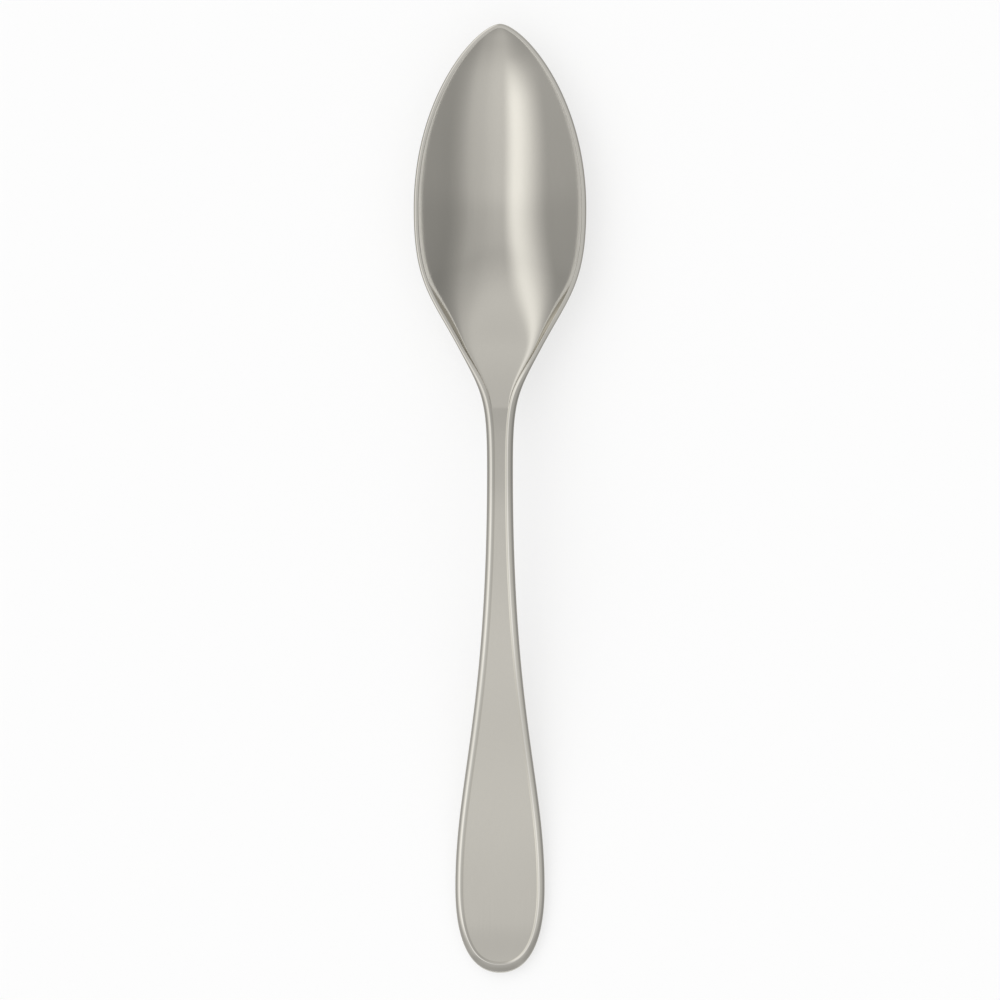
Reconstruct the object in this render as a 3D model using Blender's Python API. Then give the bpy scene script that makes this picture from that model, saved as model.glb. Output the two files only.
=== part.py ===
"""Dessert spoon, forged and coined from one blank of stainless steel.

The spoon lies on a table with its bowl up. +Y runs from the handle's end to the bowl's tip, +X to the right,
+Z up, and the origin is on the table under the middle of the spoon. A station is a distance along the spoon
from the handle's end. The deck is the level of the handle's panel, which runs on into the bowl's rim.

The solid is a loft of half sections, each square to the plan outline at its edge, mirrored about the middle.
"""

import math
from collections import namedtuple

import bmesh
import bpy
import numpy as np

MM = 0.001

# Plan outline: lengths in order from the handle's end to the bowl's tip
HANDLE_END_LENGTH = 16.7 * MM
HANDLE_TAPER_LENGTH = 81.0 * MM
NECK_LENGTH = 23.4 * MM
SHOULDER_LENGTH = 27.3 * MM
NOSE_LENGTH = 35.6 * MM

# Plan outline: full widths where those lengths meet, and how far the shoulders lean out
HANDLE_WIDTH = 17.4 * MM
NECK_WIDTH = 5.0 * MM
SHOULDER_WIDTH = 15.8 * MM
BOWL_WIDTH = 33.4 * MM
SHOULDER_LEAN = math.radians(28)

# Side view: heights over the table, where along the spoon they are, and the rim's fall at the shoulders
ARCH_HEIGHT = 16.4 * MM
ARCH_BEHIND_NECK = 5.0 * MM
SHOULDER_HEIGHT = 11.0 * MM
SHOULDER_FALL = math.radians(17)
REST_FROM_END = 10.0 * MM
END_LIFT = 0.4 * MM
TIP_LIFT = 0.7 * MM
REST_FLAT_DEPTH = 0.2 * MM

# Bowl: its hollow, and the crease on the neck where a flat ramp starts down into it
BOWL_DEPTH = 7.6 * MM
NOSE_STEEPNESS = math.radians(33)
ROOT_AHEAD_OF_NECK = 12.0 * MM
ROOT_STEEPNESS = math.radians(6.5)
SHOULDER_DEPTH = 1.0 * MM
SHOULDER_STEEPNESS = math.radians(8)

# Section of the hollow: how steep its walls are, and powers from a round dish to a flat floor
ROOT_WALL_STEEPNESS = math.radians(72)
BOWL_WALL_STEEPNESS = math.radians(44.5)
WALL_FADE = 26.0 * MM
DISH_POWER = 2.0
FLAT_POWER = 40.0
LEAST_DEPTH = 0.001 * MM

# Thickness on the middle line, and at the edge
END_GAUGE = 2.8 * MM
NECK_GAUGE = 4.2 * MM
BOWL_GAUGE = 1.7 * MM
HANDLE_EDGE = 2.3 * MM
NECK_EDGE = 2.8 * MM
RIM_EDGE = 1.2 * MM
BACK_POWER = 2.0

# Raised border of the handle: a slope up from the panel to a crest, then a round edge down to the outline
BORDER_RISE = 0.14 * MM
BORDER_SLOPE = 0.48 * MM
BORDER_ROUND = 1.05 * MM
BORDER_END_ROUND = 1.75 * MM
BORDER_FADE = 12.0 * MM
EDGE_STEEPNESS = math.radians(42)
END_CREST_TILT = math.radians(28)
END_BEVEL_TURN = 0.5
RIM_SLOPE = 0.4 * MM
RIM_ROUND = 0.4 * MM
BACK_ROUND = 1.1 * MM
RIM_BACK_ROUND = 0.5 * MM

# How far a curve keeps its heading before and after a knot, as shares of the straight run to the next knot
END_KEEP = 0.194
HANDLE_KEEP = (0.742, 0.257)
NECK_KEEP = (0.587, 0.569)
SHOULDER_KEEP = (0.406, 0.405)
BOWL_KEEP = (0.509, 0.562)
TIP_KEEP = 0.110
REST_KEEP = (0.33, 0.36)
ARCH_KEEP = (0.38, 0.44)
FALL_KEEP = (0.26, 0.20)
LOW_RIM_KEEP = (0.60, 0.20)
ROOT_KEEP = 0.36
SHALLOW_KEEP = (0.30, 0.25)
DEEP_KEEP = (0.46, 0.32)
DISH_TIP_KEEP = 0.20
EVEN_KEEP = (0.33, 0.33)

# Fineness of the loft: rows along each run of the outline, columns across, and steps round the edges
ROWS_PER_RUN = (16, 24, 20, 18, 22)
COLUMN_SHARES = (0.0, 0.13, 0.3, 0.5, 0.68, 0.83, 0.94, 1.0)
SLOPE_STEPS = 3
ROUND_STEPS = 3
BACK_ROUND_STEPS = 3
LINE_STEPS = 200
MERGE_DISTANCE = 0.01 * MM

STEEL_COLOUR = (0.55, 0.53, 0.48, 1.0)
STEEL_ROUGHNESS = 0.16

# Stations of the outline's knots
HANDLE_STATION = HANDLE_END_LENGTH
NECK_STATION = HANDLE_STATION + HANDLE_TAPER_LENGTH
SHOULDER_STATION = NECK_STATION + NECK_LENGTH
BOWL_STATION = SHOULDER_STATION + SHOULDER_LENGTH
LENGTH = BOWL_STATION + NOSE_LENGTH
ARCH_STATION = NECK_STATION - ARCH_BEHIND_NECK
ROOT_STATION = NECK_STATION + ROOT_AHEAD_OF_NECK
INNER_TIP_STATION = LENGTH - RIM_ROUND - RIM_SLOPE

LEVEL = 0.0
ACROSS = math.radians(90)

Knot = namedtuple("Knot", "station value heading keep")
Row = namedtuple("Row", "half_width station inward")


def unit(heading):
    return np.array((math.cos(heading), math.sin(heading)))


def bezier_chain(knots, steps_per_run):
    """Points and unit headings along a chain of Bezier runs, as (station, value) pairs."""
    points = []
    headings = []
    for run, (first, second) in enumerate(zip(knots, knots[1:])):
        start = np.array((first.station, first.value))
        stop = np.array((second.station, second.value))
        reach = np.linalg.norm(stop - start)
        leave = start + reach * first.keep[1] * unit(first.heading)
        arrive = stop - reach * second.keep[0] * unit(second.heading)
        steps = steps_per_run[run]
        for step in range(0 if run == 0 else 1, steps + 1):
            t = step / steps
            s = 1 - t
            points.append(s**3 * start + 3 * s * s * t * leave + 3 * s * t * t * arrive + t**3 * stop)
            slope = s * s * (leave - start) + 2 * s * t * (arrive - leave) + t * t * (stop - arrive)
            headings.append(slope / np.linalg.norm(slope))
    return np.array(points), np.array(headings)


def line_along(knots):
    """A function that gives the height of a Bezier chain at a station."""
    points, _ = bezier_chain(knots, [LINE_STEPS] * (len(knots) - 1))
    return lambda station: float(np.interp(station, points[:, 0], points[:, 1]))


def ease(station, start, stop):
    """0 before start, 1 after stop, and a smooth step between them."""
    share = min(max((station - start) / (stop - start), 0.0), 1.0)
    return share * share * (3 - 2 * share)


def between(station, start, stop, first, second):
    return first + (second - first) * ease(station, start, stop)


def outline_rows():
    """The right half of the plan outline, from the handle's end to the bowl's tip."""
    knots = (
        Knot(0.0, 0.0, ACROSS, (0.0, END_KEEP)),
        Knot(HANDLE_STATION, HANDLE_WIDTH / 2, LEVEL, HANDLE_KEEP),
        Knot(NECK_STATION, NECK_WIDTH / 2, LEVEL, NECK_KEEP),
        Knot(SHOULDER_STATION, SHOULDER_WIDTH / 2, SHOULDER_LEAN, SHOULDER_KEEP),
        Knot(BOWL_STATION, BOWL_WIDTH / 2, LEVEL, BOWL_KEEP),
        Knot(LENGTH, 0.0, -ACROSS, (TIP_KEEP, 0.0)),
    )
    points, headings = bezier_chain(knots, ROWS_PER_RUN)
    rows = []
    for (station, half_width), (along, across) in zip(points, headings):
        rows.append(Row(half_width, station, (-along, across)))
    return rows


def deck_line():
    """Side view of the panel's level: low at the handle's end, arched at the neck, down to the bowl's rim."""
    rest = END_GAUGE - REST_FLAT_DEPTH
    rim = BOWL_DEPTH + BOWL_GAUGE - REST_FLAT_DEPTH
    return line_along(
        (
            Knot(0.0, rest + END_LIFT, LEVEL, EVEN_KEEP),
            Knot(REST_FROM_END, rest, LEVEL, REST_KEEP),
            Knot(ARCH_STATION, ARCH_HEIGHT, LEVEL, ARCH_KEEP),
            Knot(SHOULDER_STATION, SHOULDER_HEIGHT, -SHOULDER_FALL, FALL_KEEP),
            Knot(BOWL_STATION, rim, LEVEL, LOW_RIM_KEEP),
            Knot(LENGTH, rim + TIP_LIFT, math.atan2(2 * TIP_LIFT, NOSE_LENGTH), EVEN_KEEP),
        )
    )


def dish_line():
    """How deep the hollow's middle line lies under the deck, from the crease at its root to the tip."""
    return line_along(
        (
            Knot(ROOT_STATION, 0.0, ROOT_STEEPNESS, (0.0, ROOT_KEEP)),
            Knot(SHOULDER_STATION, SHOULDER_DEPTH, SHOULDER_STEEPNESS, SHALLOW_KEEP),
            Knot(BOWL_STATION, BOWL_DEPTH, LEVEL, DEEP_KEEP),
            Knot(INNER_TIP_STATION, 0.0, -NOSE_STEEPNESS, (DISH_TIP_KEEP, 0.0)),
        )
    )


def gauge_line():
    """Thickness on the middle line."""
    return line_along(
        (
            Knot(0.0, HANDLE_EDGE, LEVEL, EVEN_KEEP),
            Knot(REST_FROM_END, END_GAUGE, LEVEL, EVEN_KEEP),
            Knot(NECK_STATION, NECK_GAUGE, LEVEL, EVEN_KEEP),
            Knot(BOWL_STATION, BOWL_GAUGE, LEVEL, EVEN_KEEP),
            Knot(LENGTH, RIM_EDGE, LEVEL, EVEN_KEEP),
        )
    )


def edge_line():
    """Thickness at the outline."""
    return line_along(
        (
            Knot(0.0, HANDLE_EDGE, LEVEL, EVEN_KEEP),
            Knot(HANDLE_STATION, HANDLE_EDGE, LEVEL, EVEN_KEEP),
            Knot(NECK_STATION, NECK_EDGE, LEVEL, EVEN_KEEP),
            Knot(BOWL_STATION, RIM_EDGE, LEVEL, EVEN_KEEP),
            Knot(LENGTH, RIM_EDGE, LEVEL, EVEN_KEEP),
        )
    )


deck = deck_line()
dish = dish_line()
gauge = gauge_line()
edge = edge_line()


def along_shoulder(station, handle_value, bowl_value):
    """A size that belongs to the handle, changing along the shoulders to the one that belongs to the bowl."""
    return between(station, ROOT_STATION, BOWL_STATION, handle_value, bowl_value)


def border_fade(station, handle_value, bowl_value):
    """A size of the border, changing soon after the bowl's root to that of the plain rim."""
    return between(station, ROOT_STATION, ROOT_STATION + BORDER_FADE, handle_value, bowl_value)


def end_turn(row):
    """How far the outline has turned round the handle's end: 0 along the sides, 1 at the very end."""
    return max(row.inward[1], 0.0) if row.station < HANDLE_STATION else 0.0


def border_round(row):
    """Width of the round outer edge on top, which widens as the outline turns round the handle's end."""
    handle_value = BORDER_ROUND + (BORDER_END_ROUND - BORDER_ROUND) * end_turn(row) ** 2
    return border_fade(row.station, handle_value, RIM_ROUND)


def border_slope(row):
    return border_fade(row.station, BORDER_SLOPE, RIM_SLOPE)


def border_rise(station):
    """Height of the crest over the panel, which fades out soon after the bowl's root."""
    return border_fade(station, BORDER_RISE, 0.0)


def crest_tilt(row):
    """Outward tilt right at the crest, which turns the round edge into a bevel round the handle's end."""
    return END_CREST_TILT * ease(end_turn(row), 0.0, END_BEVEL_TURN)


def inset_point(row, inset):
    """Half-width and station of the point that lies this far inside the outline."""
    return row.half_width + row.inward[0] * inset, row.station + row.inward[1] * inset


def quarter_turn(steps):
    """Pairs of run and rise, as shares, round a quarter turn from its foot to just below its crown."""
    angles = [ACROSS * step / steps for step in range(steps)]
    return [(1 - math.cos(angle), math.sin(angle)) for angle in angles]


def hollow_power(row, foot, station):
    """How square the hollow's section is, for walls of the right steepness: first flat, then round."""
    wall = between(station, ROOT_STATION, ROOT_STATION + WALL_FADE, ROOT_WALL_STEEPNESS, BOWL_WALL_STEEPNESS)
    power = math.tan(wall) * -row.inward[0] * foot / max(dish(station), LEAST_DEPTH)
    return min(max(power, DISH_POWER), FLAT_POWER)


def top_field(row):
    """The panel or the hollow, from the middle line out to the border's foot."""
    foot, station = inset_point(row, border_round(row) + border_slope(row))
    power = hollow_power(row, foot, station)
    points = []
    for share in COLUMN_SHARES:
        height = deck(station) - dish(station) * (1 - share**power)
        points.append((foot * share, station, height))
    return points


def inner_slope(row):
    """The border's inner side, from its foot up to the crest."""
    points = []
    for step in range(1, SLOPE_STEPS + 1):
        climb = step / SLOPE_STEPS
        half_width, station = inset_point(row, border_round(row) + border_slope(row) * (1 - climb))
        points.append((half_width, station, deck(station) + border_rise(station) * ease(climb, 0.0, 1.0)))
    return points


def outer_round(row):
    """From the crest down an arc, or a bevel at the handle's end, to the corner on the outline."""
    first_tilt = crest_tilt(row)
    radius = border_round(row) / (math.sin(EDGE_STEEPNESS) - math.sin(first_tilt))
    points = []
    for step in range(1, ROUND_STEPS + 1):
        tilt = first_tilt + (EDGE_STEEPNESS - first_tilt) * step / ROUND_STEPS
        half_width, station = inset_point(row, radius * (math.sin(EDGE_STEEPNESS) - math.sin(tilt)))
        drop = radius * (math.cos(first_tilt) - math.cos(tilt))
        points.append((half_width, station, deck(station) + border_rise(station) - drop))
    return points


def back_height(row, half_width, station):
    """Height of the back, which is crowned and bulges under the hollow."""
    share = half_width / row.half_width if row.half_width else 1.0
    crown = (gauge(station) - edge(station)) * (1 - share**BACK_POWER)
    bulge = dish(station) * (1 - share**DISH_POWER)
    return deck(station) - edge(station) - crown - bulge


def back(row, corner_height):
    """From the middle of the upright side round the lower edge, and in to the middle line."""
    width = along_shoulder(row.station, BACK_ROUND, RIM_BACK_ROUND)
    middle_drop = deck(row.station) - (corner_height + deck(row.station) - edge(row.station)) / 2
    points = []
    for run, drop in quarter_turn(BACK_ROUND_STEPS):
        half_width, station = inset_point(row, width * run)
        middle = deck(station) - middle_drop
        low = back_height(row, half_width, station)
        points.append((half_width, station, max(middle - (middle - low) * drop, 0.0)))
    foot, station = inset_point(row, width)
    for share in reversed(COLUMN_SHARES):
        half_width = foot * share
        points.append((half_width, station, max(back_height(row, half_width, station), 0.0)))
    return points


def half_section(row):
    """Points from the middle line on top, out round the edge, and back to the middle line underneath."""
    top = top_field(row) + inner_slope(row) + outer_round(row)
    corner_height = top[-1][2]
    points = top + back(row, corner_height)
    return [(half_width, station - LENGTH / 2, height) for half_width, station, height in points]


def add_row_of_vertices(mesh, section, is_pole):
    """Vertices of one half section. At the spoon's two ends each field is one point on the middle line."""
    columns = len(COLUMN_SHARES)
    vertices = []
    for index, point in enumerate(section):
        in_field = 0 < index < columns or index > len(section) - columns
        if is_pole and in_field:
            vertices.append(vertices[-1])
        else:
            vertices.append(mesh.verts.new(point))
    return vertices


def loft_half():
    """Mesh of the right half, open along the middle plane."""
    mesh = bmesh.new()
    rows = outline_rows()
    last = len(rows) - 1
    lofted = []
    for index, row in enumerate(rows):
        lofted.append(add_row_of_vertices(mesh, half_section(row), index in (0, last)))
    for near, far in zip(lofted, lofted[1:]):
        for column in range(len(near) - 1):
            corners = (near[column], near[column + 1], far[column + 1], far[column])
            mesh.faces.new(list(dict.fromkeys(corners)))
    data = bpy.data.meshes.new("spoon")
    mesh.to_mesh(data)
    mesh.free()
    return data


def polished_steel():
    material = bpy.data.materials.new("polished_steel")
    material.use_nodes = True
    shader = material.node_tree.nodes["Principled BSDF"]
    shader.inputs["Base Color"].default_value = STEEL_COLOUR
    shader.inputs["Metallic"].default_value = 1.0
    shader.inputs["Roughness"].default_value = STEEL_ROUGHNESS
    return material


def build_spoon():
    data = loft_half()
    data.materials.append(polished_steel())
    data.shade_smooth()
    spoon = bpy.data.objects.new("spoon", data)
    bpy.context.scene.collection.objects.link(spoon)
    mirror = spoon.modifiers.new("mirror_about_middle_plane", "MIRROR")
    mirror.use_axis = (True, False, False)
    mirror.merge_threshold = MERGE_DISTANCE


def main():
    for old in list(bpy.data.objects):
        bpy.data.objects.remove(old)
    build_spoon()


main()
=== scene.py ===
"""Polished dessert spoon on a pale studio floor, seen from straight above.

The spoon lies on the floor with its bowl up. +Y runs from the handle's end to the bowl's tip, +X to the
right, +Z up, and the origin is on the floor under the middle of the spoon. A station is a distance along
the spoon from the handle's end. The deck is the level of the handle's panel, which runs on into the
bowl's rim.

The surface follows the sizes and formulas of the spoon's solid on a finer grid, whose rows are square
to the plan outline. The grid makes the right half, and a Mirror modifier makes the left half.
"""

import math
from collections import namedtuple

import bmesh
import bpy
import numpy as np
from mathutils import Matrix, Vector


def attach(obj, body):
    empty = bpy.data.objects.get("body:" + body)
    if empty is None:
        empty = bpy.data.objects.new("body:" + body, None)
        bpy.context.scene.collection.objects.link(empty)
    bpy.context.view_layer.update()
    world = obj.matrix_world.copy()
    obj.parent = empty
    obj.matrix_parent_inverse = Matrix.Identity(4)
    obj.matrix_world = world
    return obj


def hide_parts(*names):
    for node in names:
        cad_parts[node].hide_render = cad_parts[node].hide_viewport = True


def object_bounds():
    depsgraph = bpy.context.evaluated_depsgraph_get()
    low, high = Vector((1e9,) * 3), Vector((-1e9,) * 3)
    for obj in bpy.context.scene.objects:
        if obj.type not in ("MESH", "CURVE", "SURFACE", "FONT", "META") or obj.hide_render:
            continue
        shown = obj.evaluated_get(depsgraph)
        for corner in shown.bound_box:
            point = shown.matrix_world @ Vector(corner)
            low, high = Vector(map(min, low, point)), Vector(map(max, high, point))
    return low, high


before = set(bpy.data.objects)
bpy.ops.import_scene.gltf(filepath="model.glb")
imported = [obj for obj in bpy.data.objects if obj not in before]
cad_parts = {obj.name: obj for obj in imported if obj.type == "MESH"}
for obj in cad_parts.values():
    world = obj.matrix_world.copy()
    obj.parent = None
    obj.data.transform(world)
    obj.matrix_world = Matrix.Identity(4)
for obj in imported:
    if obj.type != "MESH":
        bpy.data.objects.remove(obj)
cad_low, cad_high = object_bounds()

MM = 0.001

# Plan outline: lengths in order from the handle's end to the bowl's tip
HANDLE_END_LENGTH = 16.7 * MM
HANDLE_TAPER_LENGTH = 81.0 * MM
NECK_LENGTH = 23.4 * MM
SHOULDER_LENGTH = 27.3 * MM
NOSE_LENGTH = 35.6 * MM

# Plan outline: full widths where those lengths meet, and how far the shoulders lean out
HANDLE_WIDTH = 17.4 * MM
NECK_WIDTH = 5.0 * MM
SHOULDER_WIDTH = 15.8 * MM
BOWL_WIDTH = 33.4 * MM
SHOULDER_LEAN = math.radians(28)

# Side view: heights over the table, where along the spoon they are, and the rim's fall at the shoulders
ARCH_HEIGHT = 16.4 * MM
ARCH_BEHIND_NECK = 5.0 * MM
SHOULDER_HEIGHT = 11.0 * MM
SHOULDER_FALL = math.radians(17)
REST_FROM_END = 10.0 * MM
END_LIFT = 0.4 * MM
TIP_LIFT = 0.7 * MM
REST_FLAT_DEPTH = 0.2 * MM

# Bowl: its hollow, and the crease on the neck where a flat ramp starts down into it
BOWL_DEPTH = 7.6 * MM
NOSE_STEEPNESS = math.radians(33)
ROOT_AHEAD_OF_NECK = 12.0 * MM
ROOT_STEEPNESS = math.radians(6.5)
SHOULDER_DEPTH = 1.0 * MM
SHOULDER_STEEPNESS = math.radians(8)

# Section of the hollow: how steep its walls are, and powers from a round dish to a flat floor
ROOT_WALL_STEEPNESS = math.radians(72)
BOWL_WALL_STEEPNESS = math.radians(44.5)
WALL_FADE = 26.0 * MM
DISH_POWER = 2.0
FLAT_POWER = 40.0
LEAST_DEPTH = 0.001 * MM

# Thickness on the middle line, and at the edge
END_GAUGE = 2.8 * MM
NECK_GAUGE = 4.2 * MM
BOWL_GAUGE = 1.7 * MM
HANDLE_EDGE = 2.3 * MM
NECK_EDGE = 2.8 * MM
RIM_EDGE = 1.2 * MM
BACK_POWER = 2.0

# Raised border of the handle: a round outer edge up to a crest, then a slope down to the panel,
# which is straight at a rounding of 0 and a smooth step at 1
BORDER_RISE = 0.14 * MM
BORDER_ROUND = 1.05 * MM
BORDER_END_ROUND = 1.75 * MM
BORDER_SLOPE = 0.48 * MM
SLOPE_ROUNDING = 0.35
BORDER_FADE = 12.0 * MM
EDGE_STEEPNESS = math.radians(42)
END_CREST_TILT = math.radians(28)
END_BEVEL_TURN = 0.5
CORNER_ROUND = 0.10 * MM
RIM_ROUND = 0.4 * MM
RIM_SLOPE = 0.4 * MM
BACK_ROUND = 1.1 * MM
RIM_BACK_ROUND = 0.5 * MM

# How far a curve keeps its heading before and after a knot, as shares of the straight run to the next knot
END_KEEP = 0.194
HANDLE_KEEP = (0.742, 0.257)
NECK_KEEP = (0.587, 0.569)
SHOULDER_KEEP = (0.406, 0.405)
BOWL_KEEP = (0.509, 0.562)
TIP_KEEP = 0.110
REST_KEEP = (0.33, 0.36)
ARCH_KEEP = (0.38, 0.44)
FALL_KEEP = (0.26, 0.20)
LOW_RIM_KEEP = (0.60, 0.20)
ROOT_KEEP = 0.36
SHALLOW_KEEP = (0.30, 0.25)
DEEP_KEEP = (0.46, 0.32)
DISH_TIP_KEEP = 0.20
EVEN_KEEP = (0.33, 0.33)

# Fineness of the surface, and how close points lie that are merged at the two ends and on the middle plane
ROWS_PER_RUN = (64, 96, 80, 72, 88)
FIELD_COLUMNS = 26
COLUMN_CROWDING = 1.5
SLOPE_STEPS = 8
ROUND_STEPS = 10
CORNER_STEPS = 3
SIDE_STEPS = 2
BACK_ROUND_STEPS = 8
BACK_COLUMNS = 22
LINE_STEPS = 4000
END_MERGE = 0.0005 * MM
MIRROR_MERGE = 0.001 * MM

# Stations of the outline's knots
HANDLE_STATION = HANDLE_END_LENGTH
NECK_STATION = HANDLE_STATION + HANDLE_TAPER_LENGTH
SHOULDER_STATION = NECK_STATION + NECK_LENGTH
BOWL_STATION = SHOULDER_STATION + SHOULDER_LENGTH
LENGTH = BOWL_STATION + NOSE_LENGTH
ARCH_STATION = NECK_STATION - ARCH_BEHIND_NECK
ROOT_STATION = NECK_STATION + ROOT_AHEAD_OF_NECK
INNER_TIP_STATION = LENGTH - RIM_ROUND - RIM_SLOPE

# Headings, along the spoon and square to it
LEVEL = 0.0
ACROSS = math.radians(90)

# Wear and painted light: 1 on the crest and the corner, rubbed bright and painted as highlight, -1 at the
# border's foot, painted shade in that recess, a lighter level at the bowl rim's foot, and a power that keeps
# it close to the foot
CREST_WEAR_AND_HIGHLIGHT = 1.0
FOOT_PAINTED_SHADE = -1.0
RIM_FOOT_LIGHTENING = 0.5
FOOT_POWER = 24.0
WEAR_AND_PAINTED_LIGHT_ATTRIBUTE = "wear_and_painted_light"

# Steel: its plain colour, and how far clouds, lines, scratches, rubbed wear and painted light change it. A
# grain is a noise's size across, along and through the spoon. A scratch starts and is full at these levels
# of a noise about 0.
STEEL_COLOUR = (0.55, 0.53, 0.48)
STEEL_ROUGHNESS = 0.09
NOISE_MIDDLE = 0.5
CLOUD_GRAIN = (9.0 * MM, 22.0 * MM, 9.0 * MM)
CLOUD_TONE = 0.03
CLOUD_ROUGHNESS = 0.04
LINE_GRAIN = (0.22 * MM, 18.0 * MM, 0.22 * MM)
LINE_TONE = 0.04
LINE_ROUGHNESS = 0.03
LINE_HEIGHT = 0.0012 * MM
SCRATCH_GRAIN = (0.10 * MM, 11.0 * MM, 1000.0 * MM)
SCRATCH_TURNS = (math.radians(7), math.radians(-16), math.radians(38))
SCRATCH_START = 0.20
SCRATCH_FULL = 0.30
SCRATCH_TONE = 0.05
SCRATCH_ROUGHNESS = 0.10
SCRATCH_DEPTH = 0.0010 * MM
# Colour added where the mark is high, making crests and corners lighter and bluer as a painted highlight on
# rubbed wear, and taken off at the border's foot as painted shade
WEAR_AND_PAINTED_LIGHT_COLOUR = (0.032, 0.034, 0.040)
WEAR_ROUGHNESS = -0.02

# Studio floor and lamp
FLOOR_COLOUR = (0.97, 0.97, 0.97, 1.0)
FLOOR_GLOW = 0.62
STUDIO_RADIUS = 3.0
COVE_RADIUS = 0.26
COVE_STEPS = 24
STUDIO_SIDES = 96
FLOOR_MERGE = 1.0 * MM
LAMP_STRENGTH = 0.6
LAMP_SPREAD = math.radians(60)
LAMP_LEAN = (math.radians(-20), math.radians(-30), 0.0)

# Sky and strip light, as pairs of a direction's part along or across the spoon and a share of full light
WHITE = (1.0, 1.0, 1.0, 1.0)
FULL_LIGHT = 1.48
SKY_ALONG = (
    (-1.0, 0.56), (-0.92, 0.65), (-0.8, 0.77), (-0.68, 0.81), (-0.56, 0.95), (-0.47, 1.0), (-0.27, 0.96),
    (-0.05, 0.92), (0.05, 0.84), (0.11, 0.82), (0.34, 0.78), (0.46, 0.74), (0.6, 0.82), (0.8, 0.92),
    (0.95, 0.6),
)
SKY_ACROSS = (
    (-1.0, 0.42), (-0.76, 0.45), (-0.3, 0.62), (0.0, 0.65), (0.3, 0.59), (0.62, 0.51), (0.84, 0.34),
)
STRIP_ALONG = ((-0.62, 0.0), (-0.42, 0.95), (0.6, 1.0), (0.95, 0.5))
STRIP_ACROSS = ((-0.84, 0.0), (-0.6, 0.28), (-0.3, 0.42), (-0.06, 0.0))

# Camera, and where the bowl's tip and the handle's end come in the picture
FRAME_PIXELS = 1000
LENS = 200.0
SENSOR = 36.0
TIP_PIXEL = 28.0
END_PIXEL = 972.0

Knot = namedtuple("Knot", "station value heading keep")
Rows = namedtuple("Rows", "half_width station inward_across inward_along")


def unit(heading):
    """Step of length 1 on this heading, as a (station, value) pair."""
    return np.array((math.cos(heading), math.sin(heading)))


def bezier_chain(knots, steps_per_run):
    """Points and unit headings along a chain of Bezier runs, as (station, value) pairs."""
    points = []
    headings = []
    for run, (first, second) in enumerate(zip(knots, knots[1:])):
        start = np.array((first.station, first.value))
        stop = np.array((second.station, second.value))
        reach = np.linalg.norm(stop - start)
        leave = start + reach * first.keep[1] * unit(first.heading)
        arrive = stop - reach * second.keep[0] * unit(second.heading)
        done = np.linspace(0.0, 1.0, steps_per_run[run] + 1)[0 if run == 0 else 1:, None]
        left = 1 - done
        weights = (left**3, 3 * left * left * done, 3 * left * done * done, done**3)
        points.append(sum(weight * point for weight, point in zip(weights, (start, leave, arrive, stop))))
        slope = left * left * (leave - start) + 2 * left * done * (arrive - leave)
        slope = slope + done * done * (stop - arrive)
        headings.append(slope / np.linalg.norm(slope, axis=1, keepdims=True))
    return np.concatenate(points), np.concatenate(headings)


def line_along(knots):
    """A function that gives the height of a Bezier chain at stations."""
    points, _ = bezier_chain(knots, [LINE_STEPS] * (len(knots) - 1))
    stations = points[:, 0].copy()
    heights = points[:, 1].copy()
    return lambda station: np.interp(station, stations, heights)


def ease(station, start, stop):
    """0 before start, 1 after stop, and a smooth step between them."""
    share = np.clip((station - start) / (stop - start), 0.0, 1.0)
    return share * share * (3 - 2 * share)


def between(station, start, stop, first, second):
    """The first value before start, the second after stop, and a smooth change between them."""
    return first + (second - first) * ease(station, start, stop)


def shares_after_start(steps):
    """Even shares of a run, from one step after its start to its end."""
    return np.linspace(0.0, 1.0, steps + 1)[1:]


def outline_rows():
    """The right half of the plan outline, from the handle's end to the bowl's tip, as rows of the grid."""
    knots = (
        Knot(0.0, 0.0, ACROSS, (0.0, END_KEEP)),
        Knot(HANDLE_STATION, HANDLE_WIDTH / 2, LEVEL, HANDLE_KEEP),
        Knot(NECK_STATION, NECK_WIDTH / 2, LEVEL, NECK_KEEP),
        Knot(SHOULDER_STATION, SHOULDER_WIDTH / 2, SHOULDER_LEAN, SHOULDER_KEEP),
        Knot(BOWL_STATION, BOWL_WIDTH / 2, LEVEL, BOWL_KEEP),
        Knot(LENGTH, 0.0, -ACROSS, (TIP_KEEP, 0.0)),
    )
    points, headings = bezier_chain(knots, ROWS_PER_RUN)
    return Rows(points[:, 1:], points[:, :1], -headings[:, :1], headings[:, 1:])


def deck_line():
    """Side view of the panel's level: low at the handle's end, arched at the neck, down to the rim."""
    rest = END_GAUGE - REST_FLAT_DEPTH
    rim = BOWL_DEPTH + BOWL_GAUGE - REST_FLAT_DEPTH
    return line_along(
        (
            Knot(0.0, rest + END_LIFT, LEVEL, EVEN_KEEP),
            Knot(REST_FROM_END, rest, LEVEL, REST_KEEP),
            Knot(ARCH_STATION, ARCH_HEIGHT, LEVEL, ARCH_KEEP),
            Knot(SHOULDER_STATION, SHOULDER_HEIGHT, -SHOULDER_FALL, FALL_KEEP),
            Knot(BOWL_STATION, rim, LEVEL, LOW_RIM_KEEP),
            Knot(LENGTH, rim + TIP_LIFT, math.atan2(2 * TIP_LIFT, NOSE_LENGTH), EVEN_KEEP),
        )
    )


def dish_line():
    """How deep the hollow's middle line lies under the deck, from the crease at its root to the tip."""
    return line_along(
        (
            Knot(ROOT_STATION, 0.0, ROOT_STEEPNESS, (0.0, ROOT_KEEP)),
            Knot(SHOULDER_STATION, SHOULDER_DEPTH, SHOULDER_STEEPNESS, SHALLOW_KEEP),
            Knot(BOWL_STATION, BOWL_DEPTH, LEVEL, DEEP_KEEP),
            Knot(INNER_TIP_STATION, 0.0, -NOSE_STEEPNESS, (DISH_TIP_KEEP, 0.0)),
        )
    )


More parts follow.
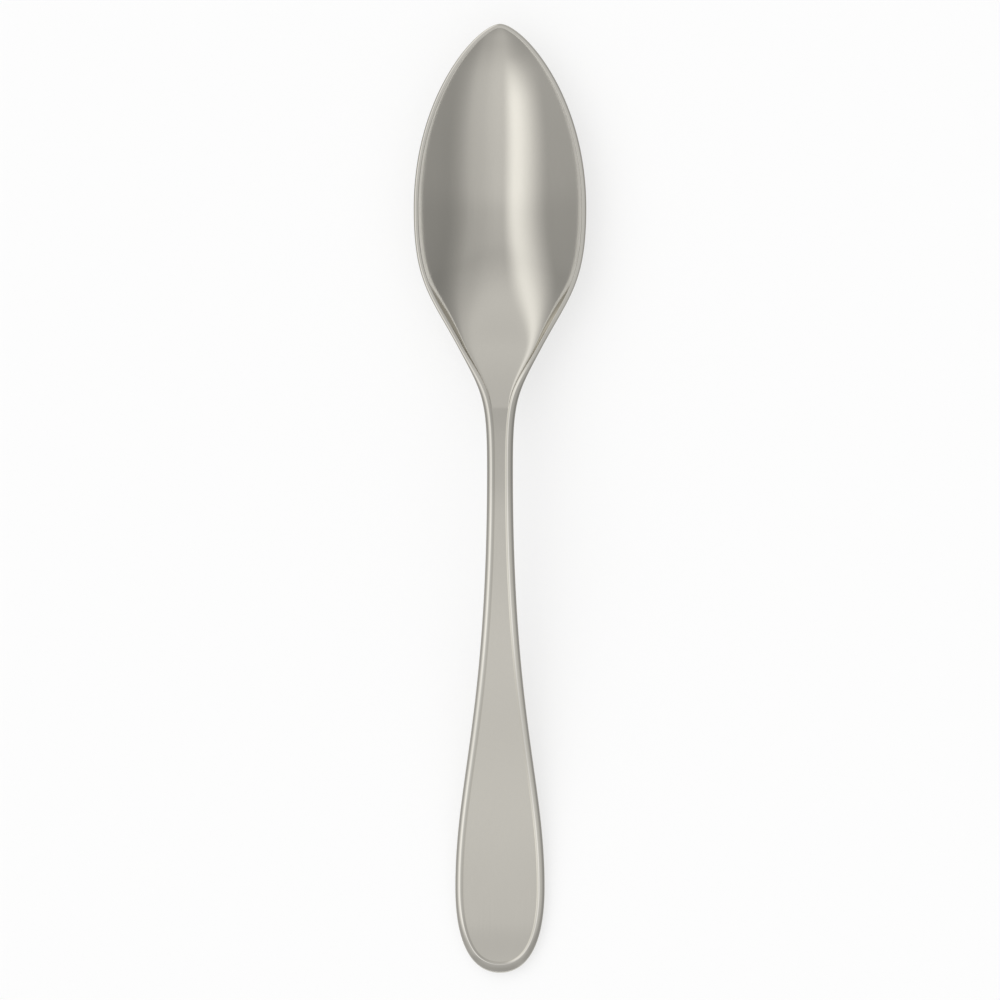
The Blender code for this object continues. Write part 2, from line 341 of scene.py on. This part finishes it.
def gauge_line():
    """Thickness on the middle line."""
    return line_along(
        (
            Knot(0.0, HANDLE_EDGE, LEVEL, EVEN_KEEP),
            Knot(REST_FROM_END, END_GAUGE, LEVEL, EVEN_KEEP),
            Knot(NECK_STATION, NECK_GAUGE, LEVEL, EVEN_KEEP),
            Knot(BOWL_STATION, BOWL_GAUGE, LEVEL, EVEN_KEEP),
            Knot(LENGTH, RIM_EDGE, LEVEL, EVEN_KEEP),
        )
    )


def edge_line():
    """Thickness at the outline."""
    return line_along(
        (
            Knot(0.0, HANDLE_EDGE, LEVEL, EVEN_KEEP),
            Knot(HANDLE_STATION, HANDLE_EDGE, LEVEL, EVEN_KEEP),
            Knot(NECK_STATION, NECK_EDGE, LEVEL, EVEN_KEEP),
            Knot(BOWL_STATION, RIM_EDGE, LEVEL, EVEN_KEEP),
            Knot(LENGTH, RIM_EDGE, LEVEL, EVEN_KEEP),
        )
    )


deck = deck_line()
dish = dish_line()
gauge = gauge_line()
edge = edge_line()


def along_shoulder(station, handle_value, bowl_value):
    """A size that belongs to the handle, changing along the shoulders to the one for the bowl."""
    return between(station, ROOT_STATION, BOWL_STATION, handle_value, bowl_value)


def border_fade(station, handle_value, bowl_value):
    """A size of the border, changing soon after the bowl's root to that of the plain rim."""
    return between(station, ROOT_STATION, ROOT_STATION + BORDER_FADE, handle_value, bowl_value)


def end_turn(rows):
    """How far the outline has turned round the handle's end: 0 along the sides, 1 at the very end."""
    return np.where(rows.station < HANDLE_STATION, np.maximum(rows.inward_along, 0.0), 0.0)


def border_round(rows):
    """Width of the round outer edge on top, which widens as the outline turns round the handle's end."""
    handle_value = BORDER_ROUND + (BORDER_END_ROUND - BORDER_ROUND) * end_turn(rows) ** 2
    return border_fade(rows.station, handle_value, RIM_ROUND)


def crest_tilt(rows):
    """Outward tilt right at the crest, which turns the round edge into a bevel round the handle's end."""
    return END_CREST_TILT * ease(end_turn(rows), 0.0, END_BEVEL_TURN)


def border_slope(rows):
    """Width of the border's inner slope."""
    return border_fade(rows.station, BORDER_SLOPE, RIM_SLOPE)


def crest(station):
    """Height of the border's crest, which comes down to the deck soon after the bowl's root."""
    return deck(station) + border_fade(station, BORDER_RISE, 0.0)


def inset_points(rows, inset):
    """Half-widths and stations of the points that lie this far inside the outline."""
    return rows.half_width + rows.inward_across * inset, rows.station + rows.inward_along * inset


def hollow_power(rows, foot, station):
    """How square the hollow's section is, for walls of the right steepness: first flat, then round."""
    wall = between(station, ROOT_STATION, ROOT_STATION + WALL_FADE, ROOT_WALL_STEEPNESS, BOWL_WALL_STEEPNESS)
    power = np.tan(wall) * -rows.inward_across * foot / np.maximum(dish(station), LEAST_DEPTH)
    return np.clip(power, DISH_POWER, FLAT_POWER)


def top_field(rows):
    """The panel or the hollow, from the middle line out to the border's foot."""
    share = 1 - (1 - np.linspace(0.0, 1.0, FIELD_COLUMNS)) ** COLUMN_CROWDING
    foot, station = inset_points(rows, border_round(rows) + border_slope(rows))
    height = deck(station) - dish(station) * (1 - share ** hollow_power(rows, foot, station))
    return foot * share, station + 0 * share, height


def inner_slope(rows):
    """The border's inner side, from its foot up to the crest."""
    climb = shares_after_start(SLOPE_STEPS)
    half_width, station = inset_points(rows, border_round(rows) + border_slope(rows) * (1 - climb))
    rise = climb + SLOPE_ROUNDING * (ease(climb, 0.0, 1.0) - climb)
    return half_width, station, deck(station) * (1 - rise) + crest(station) * rise


def outer_round(rows):
    """From the crest down an arc, or a bevel at the handle's end, and round the corner on the outline."""
    steepest = math.sin(EDGE_STEEPNESS)
    corner_run = CORNER_ROUND * (1 - steepest)
    start = crest_tilt(rows)
    tilt = start + (EDGE_STEEPNESS - start) * shares_after_start(ROUND_STEPS)
    turn = np.linspace(EDGE_STEEPNESS, ACROSS, CORNER_STEPS + 1)[1:]
    radius = (border_round(rows) - corner_run) / (steepest - np.sin(start))
    shoulder_inset = corner_run + radius * (steepest - np.sin(tilt))
    shoulder_drop = radius * (np.cos(start) - np.cos(tilt))
    corner_inset = CORNER_ROUND * (1 - np.sin(turn)) + 0 * radius
    corner_drop = shoulder_drop[:, -1:] + CORNER_ROUND * (math.cos(EDGE_STEEPNESS) - np.cos(turn))
    inset = np.concatenate((shoulder_inset, corner_inset), axis=1)
    drop = np.concatenate((shoulder_drop, corner_drop), axis=1)
    half_width, station = inset_points(rows, inset)
    return half_width, station, crest(station) - drop


def side(rows, corner_height):
    """The upright side, from the corner down to halfway to the lower edge."""
    share = shares_after_start(SIDE_STEPS)
    lower_edge = deck(rows.station) - edge(rows.station)
    height = corner_height + (lower_edge - corner_height) / 2 * share
    return rows.half_width + 0 * share, rows.station + 0 * share, height


def back_height(rows, half_width, station):
    """Height of the back, which is crowned, bulges under the hollow and is flat where it rests."""
    share = half_width / np.where(rows.half_width > 0, rows.half_width, 1.0)
    share = np.where(rows.half_width > 0, share, 1.0)
    crown = (gauge(station) - edge(station)) * (1 - share**BACK_POWER)
    bulge = dish(station) * (1 - share**DISH_POWER)
    return np.maximum(deck(station) - edge(station) - crown - bulge, 0.0)


def back_round(rows, side_height):
    """From the middle of the side down round the lower edge."""
    angle = ACROSS * np.linspace(0.0, 1.0, BACK_ROUND_STEPS + 1)[1:-1]
    width = along_shoulder(rows.station, BACK_ROUND, RIM_BACK_ROUND)
    half_width, station = inset_points(rows, width * (1 - np.cos(angle)))
    middle = side_height + deck(station) - deck(rows.station)
    low = back_height(rows, half_width, station)
    return half_width, station, np.maximum(middle - (middle - low) * np.sin(angle), 0.0)


def back_field(rows):
    """The back, from the lower edge in to the middle line."""
    share = np.linspace(1.0, 0.0, BACK_COLUMNS)
    foot, station = inset_points(rows, along_shoulder(rows.station, BACK_ROUND, RIM_BACK_ROUND))
    return foot * share, station + 0 * share, back_height(rows, foot * share, station)


def half_grid():
    """Points of the right half, in rows from the middle line on top round to the one underneath."""
    rows = outline_rows()
    outer = outer_round(rows)
    upright = side(rows, outer[2][:, -1:])
    strips = (
        top_field(rows),
        inner_slope(rows),
        outer,
        upright,
        back_round(rows, upright[2][:, -1:]),
        back_field(rows),
    )
    half_width, station, height = (np.concatenate(part, axis=1) for part in zip(*strips))
    return np.stack((half_width, station + cad_low.y, height), axis=2)


def wear_and_painted_light_grid():
    """Level of wear and painted light at the half grid's points: most on the crest and the corner, rubbed
    bright with painted highlight, least at the border's foot, painted shade there.
    """
    # Painted shade at the border's foot, which changes to a lighter level at the bowl rim's foot
    foot = border_fade(outline_rows().station, FOOT_PAINTED_SHADE, RIM_FOOT_LIGHTENING)
    every_row = np.zeros_like(foot)
    strips = (
        foot * np.linspace(0.0, 1.0, FIELD_COLUMNS) ** FOOT_POWER,
        foot + (CREST_WEAR_AND_HIGHLIGHT - foot) * shares_after_start(SLOPE_STEPS),
        every_row + np.abs(np.linspace(CREST_WEAR_AND_HIGHLIGHT, -CREST_WEAR_AND_HIGHLIGHT, ROUND_STEPS + 1)[1:]),
        every_row + np.full(CORNER_STEPS, CREST_WEAR_AND_HIGHLIGHT),
        every_row + np.linspace(CREST_WEAR_AND_HIGHLIGHT, 0.0, SIDE_STEPS + 1)[1:],
        every_row + np.zeros(BACK_ROUND_STEPS - 1 + BACK_COLUMNS),
    )
    return np.concatenate(strips, axis=1)


def spoon_mesh():
    """Mesh of the right half, open along the middle plane, with its two ends closed up to points."""
    grid = half_grid()
    rows, columns, _ = grid.shape
    index = np.arange(rows * columns).reshape(rows, columns)
    corners = (index[:-1, :-1], index[:-1, 1:], index[1:, 1:], index[1:, :-1])
    faces = np.stack([corner.ravel() for corner in corners], axis=1)
    data = bpy.data.meshes.new("polished_spoon")
    data.from_pydata(grid.reshape(-1, 3).tolist(), [], faces.tolist())
    data.attributes.new(WEAR_AND_PAINTED_LIGHT_ATTRIBUTE, "FLOAT", "POINT").data.foreach_set("value", wear_and_painted_light_grid().ravel())
    mesh = bmesh.new()
    mesh.from_mesh(data)
    bmesh.ops.remove_doubles(mesh, verts=mesh.verts, dist=END_MERGE)
    mesh.to_mesh(data)
    mesh.free()
    data.shade_smooth()
    return data


def combine(tree, operation, first, second):
    """Output of a math node on two sockets or numbers."""
    node = tree.nodes.new("ShaderNodeMath")
    node.operation = operation
    for socket, value in zip(node.inputs, (first, second)):
        if isinstance(value, bpy.types.NodeSocket):
            tree.links.new(value, socket)
        else:
            socket.default_value = value
    return node.outputs["Value"]


def total(tree, *terms):
    """Sum of terms, each a socket and the share of it that counts."""
    result = 0.0
    for socket, share in terms:
        result = combine(tree, "ADD", result, combine(tree, "MULTIPLY", socket, share))
    return result


def grain_noise(tree, grain, turn=0.0):
    """Noise about 0 with a grain of these sizes, turned round the upright axis."""
    mapping = tree.nodes.new("ShaderNodeMapping")
    mapping.vector_type = "TEXTURE"
    mapping.inputs["Rotation"].default_value = (0.0, 0.0, turn)
    mapping.inputs["Scale"].default_value = grain
    noise = tree.nodes.new("ShaderNodeTexNoise")
    noise.inputs["Scale"].default_value = 1.0
    tree.links.new(tree.nodes.new("ShaderNodeTexCoord").outputs["Object"], mapping.inputs["Vector"])
    tree.links.new(mapping.outputs["Vector"], noise.inputs["Vector"])
    return combine(tree, "SUBTRACT", noise.outputs["Fac"], NOISE_MIDDLE)


def hairline_scratches(tree):
    """1 on thin scratches in a few directions, and 0 beside them."""
    scratches = 0.0
    for turn in SCRATCH_TURNS:
        sharpen = tree.nodes.new("ShaderNodeMapRange")
        sharpen.inputs["From Min"].default_value = SCRATCH_START
        sharpen.inputs["From Max"].default_value = SCRATCH_FULL
        tree.links.new(grain_noise(tree, SCRATCH_GRAIN, turn), sharpen.inputs["Value"])
        scratches = combine(tree, "MAXIMUM", scratches, sharpen.outputs["Result"])
    return scratches


def steel_colour(tree, tone, wear_and_painted_light):
    """The plain colour made lighter or darker by a tone, with the colour of wear and painted light added:
    painted highlight on rubbed crests, painted shade at the border's foot.
    """
    plain = tree.nodes.new("ShaderNodeVectorMath")
    plain.operation = "SCALE"
    plain.inputs[0].default_value = STEEL_COLOUR
    tree.links.new(combine(tree, "ADD", 1.0, tone), plain.inputs["Scale"])
    # Adds the painted highlight on the crests and the painted shade at the border's foot to the steel's
    # colour
    with_wear_and_painted_light = tree.nodes.new("ShaderNodeVectorMath")
    with_wear_and_painted_light.operation = "MULTIPLY_ADD"
    with_wear_and_painted_light.inputs[1].default_value = WEAR_AND_PAINTED_LIGHT_COLOUR
    tree.links.new(wear_and_painted_light, with_wear_and_painted_light.inputs[0])
    tree.links.new(plain.outputs["Vector"], with_wear_and_painted_light.inputs[2])
    return with_wear_and_painted_light.outputs["Vector"]


def polished_steel():
    """Bright steel with faint buffing clouds, polishing lines, hairline scratches, and rubbed edges with
    painted highlight, and painted shade at the border's foot.
    """
    material = bpy.data.materials.new("polished_steel")
    material.use_nodes = True
    tree = material.node_tree
    clouds = grain_noise(tree, CLOUD_GRAIN)
    lines = grain_noise(tree, LINE_GRAIN)
    scratches = hairline_scratches(tree)
    # This attribute carries rubbed wear with a painted highlight on the crests and painted shade at the
    # border's foot
    attribute = tree.nodes.new("ShaderNodeAttribute")
    attribute.attribute_name = WEAR_AND_PAINTED_LIGHT_ATTRIBUTE
    wear_and_painted_light = attribute.outputs["Fac"]
    tone = total(tree, (clouds, CLOUD_TONE), (lines, LINE_TONE), (scratches, SCRATCH_TONE))
    dullness = total(
        tree,
        (clouds, CLOUD_ROUGHNESS),
        (lines, LINE_ROUGHNESS),
        (scratches, SCRATCH_ROUGHNESS),
        (wear_and_painted_light, WEAR_ROUGHNESS),
    )
    height = total(tree, (lines, LINE_HEIGHT), (scratches, -SCRATCH_DEPTH))
    bump = tree.nodes.new("ShaderNodeBump")
    bump.inputs["Distance"].default_value = 1.0
    tree.links.new(height, bump.inputs["Height"])
    shader = tree.nodes["Principled BSDF"]
    shader.inputs["Metallic"].default_value = 1.0
    tree.links.new(steel_colour(tree, tone, wear_and_painted_light), shader.inputs["Base Color"])
    tree.links.new(combine(tree, "ADD", STEEL_ROUGHNESS, dullness), shader.inputs["Roughness"])
    tree.links.new(bump.outputs["Normal"], shader.inputs["Normal"])
    return material


def add_object(name, data):
    """A new object in the scene."""
    added = bpy.data.objects.new(name, data)
    bpy.context.scene.collection.objects.link(added)
    return added


def build_spoon():
    """The spoon as one piece, which stands for its solid."""
    data = spoon_mesh()
    data.materials.append(polished_steel())
    spoon = add_object("polished_spoon", data)
    mirror = spoon.modifiers.new("mirror_about_middle_plane", "MIRROR")
    mirror.use_axis = (True, False, False)
    mirror.merge_threshold = MIRROR_MERGE
    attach(spoon, "root")
    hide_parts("spoon")


def studio_white():
    """Pale floor that camera, glossy and transmission rays see nearly white, with the spoon's shadow."""
    material = bpy.data.materials.new("studio_white")
    material.use_nodes = True
    tree = material.node_tree
    tree.nodes.clear()
    diffuse = tree.nodes.new("ShaderNodeBsdfDiffuse")
    diffuse.inputs["Color"].default_value = FLOOR_COLOUR
    glow = tree.nodes.new("ShaderNodeEmission")
    ray = tree.nodes.new("ShaderNodeLightPath").outputs
    seen = combine(tree, "MAXIMUM", ray["Is Camera Ray"], ray["Is Glossy Ray"])
    seen = combine(tree, "MAXIMUM", seen, ray["Is Transmission Ray"])
    mix = tree.nodes.new("ShaderNodeMixShader")
    tree.links.new(combine(tree, "MULTIPLY", seen, FLOOR_GLOW), mix.inputs["Fac"])
    tree.links.new(diffuse.outputs["BSDF"], mix.inputs[1])
    tree.links.new(glow.outputs["Emission"], mix.inputs[2])
    output = tree.nodes.new("ShaderNodeOutputMaterial")
    tree.links.new(mix.outputs["Shader"], output.inputs["Surface"])
    return material


def build_studio():
    """Round floor with a coved wall, low enough that the light comes in over it."""
    mesh = bmesh.new()
    profile = [mesh.verts.new((0.0, 0.0, 0.0))]
    for step in range(COVE_STEPS + 1):
        angle = ACROSS * step / COVE_STEPS
        radius = STUDIO_RADIUS - COVE_RADIUS * (1 - math.sin(angle))
        profile.append(mesh.verts.new((radius, 0.0, COVE_RADIUS * (1 - math.cos(angle)))))
    edges = [mesh.edges.new(pair) for pair in zip(profile, profile[1:])]
    bmesh.ops.spin(
        mesh, geom=profile + edges, axis=(0, 0, 1), cent=(0, 0, 0),
        angle=2 * math.pi, steps=STUDIO_SIDES, use_duplicate=False,
    )
    bmesh.ops.remove_doubles(mesh, verts=mesh.verts, dist=FLOOR_MERGE)
    data = bpy.data.meshes.new("studio_floor")
    mesh.to_mesh(data)
    mesh.free()
    data.shade_smooth()
    data.materials.append(studio_white())
    add_object("studio_floor", data)


def level_along(tree, component, stops):
    """A smooth level that depends on one part of the direction, from -1 to 1."""
    to_share = tree.nodes.new("ShaderNodeMapRange")
    to_share.inputs["From Min"].default_value = -1.0
    tree.links.new(component, to_share.inputs["Value"])
    ramp = tree.nodes.new("ShaderNodeValToRGB")
    ramp.color_ramp.interpolation = "CARDINAL"
    elements = ramp.color_ramp.elements
    places = [(part + 1) / 2 for part, _ in stops]
    for place in places[1:-1]:
        elements.new(place)
    for element, place, (_, level) in zip(elements, places, stops):
        element.position = place
        element.color = (level, level, level, 1.0)
    tree.links.new(to_share.outputs["Result"], ramp.inputs["Fac"])
    return ramp.outputs["Color"]


def light_source(tree, direction, along, across):
    """A soft source whose level is the product of a level along the spoon and one across it."""
    level_by_length = level_along(tree, direction["Y"], along)
    level_by_width = level_along(tree, direction["X"], across)
    return combine(tree, "MULTIPLY", level_by_length, level_by_width)


def studio_light():
    """A wide soft sky that is darker on the right, and a long soft strip on the left."""
    world = bpy.data.worlds.new("studio_light")
    bpy.context.scene.world = world
    world.use_nodes = True
    tree = world.node_tree
    direction = tree.nodes.new("ShaderNodeSeparateXYZ")
    tree.links.new(tree.nodes.new("ShaderNodeTexCoord").outputs["Generated"], direction.inputs["Vector"])
    sky = light_source(tree, direction.outputs, SKY_ALONG, SKY_ACROSS)
    strip = light_source(tree, direction.outputs, STRIP_ALONG, STRIP_ACROSS)
    strength = combine(tree, "MULTIPLY", combine(tree, "ADD", sky, strip), FULL_LIGHT)
    background = tree.nodes["Background"]
    background.inputs["Color"].default_value = WHITE
    tree.links.new(strength, background.inputs["Strength"])


def build_lamp():
    """A broad soft lamp high on the left, which lights the floor round the spoon's shadow."""
    data = bpy.data.lights.new("soft_lamp", "SUN")
    data.energy = LAMP_STRENGTH
    data.angle = LAMP_SPREAD
    lamp = add_object("soft_lamp", data)
    lamp.rotation_euler = LAMP_LEAN
    lamp.visible_glossy = False


def build_camera():
    """Straight down over the middle of the spoon, far off on a long lens, with the bowl's tip at the top."""
    data = bpy.data.cameras.new("camera")
    data.lens = LENS
    data.sensor_width = SENSOR
    camera = add_object("camera", data)
    metres_per_pixel = LENGTH / (END_PIXEL - TIP_PIXEL)
    distance = metres_per_pixel * FRAME_PIXELS * LENS / SENSOR
    camera.location = (0.0, 0.0, distance)
    bpy.context.scene.camera = camera


build_studio()
studio_light()
build_lamp()
build_camera()
build_spoon()
bpy.context.scene.view_settings.view_transform = "Standard"

bpy.context.view_layer.update()
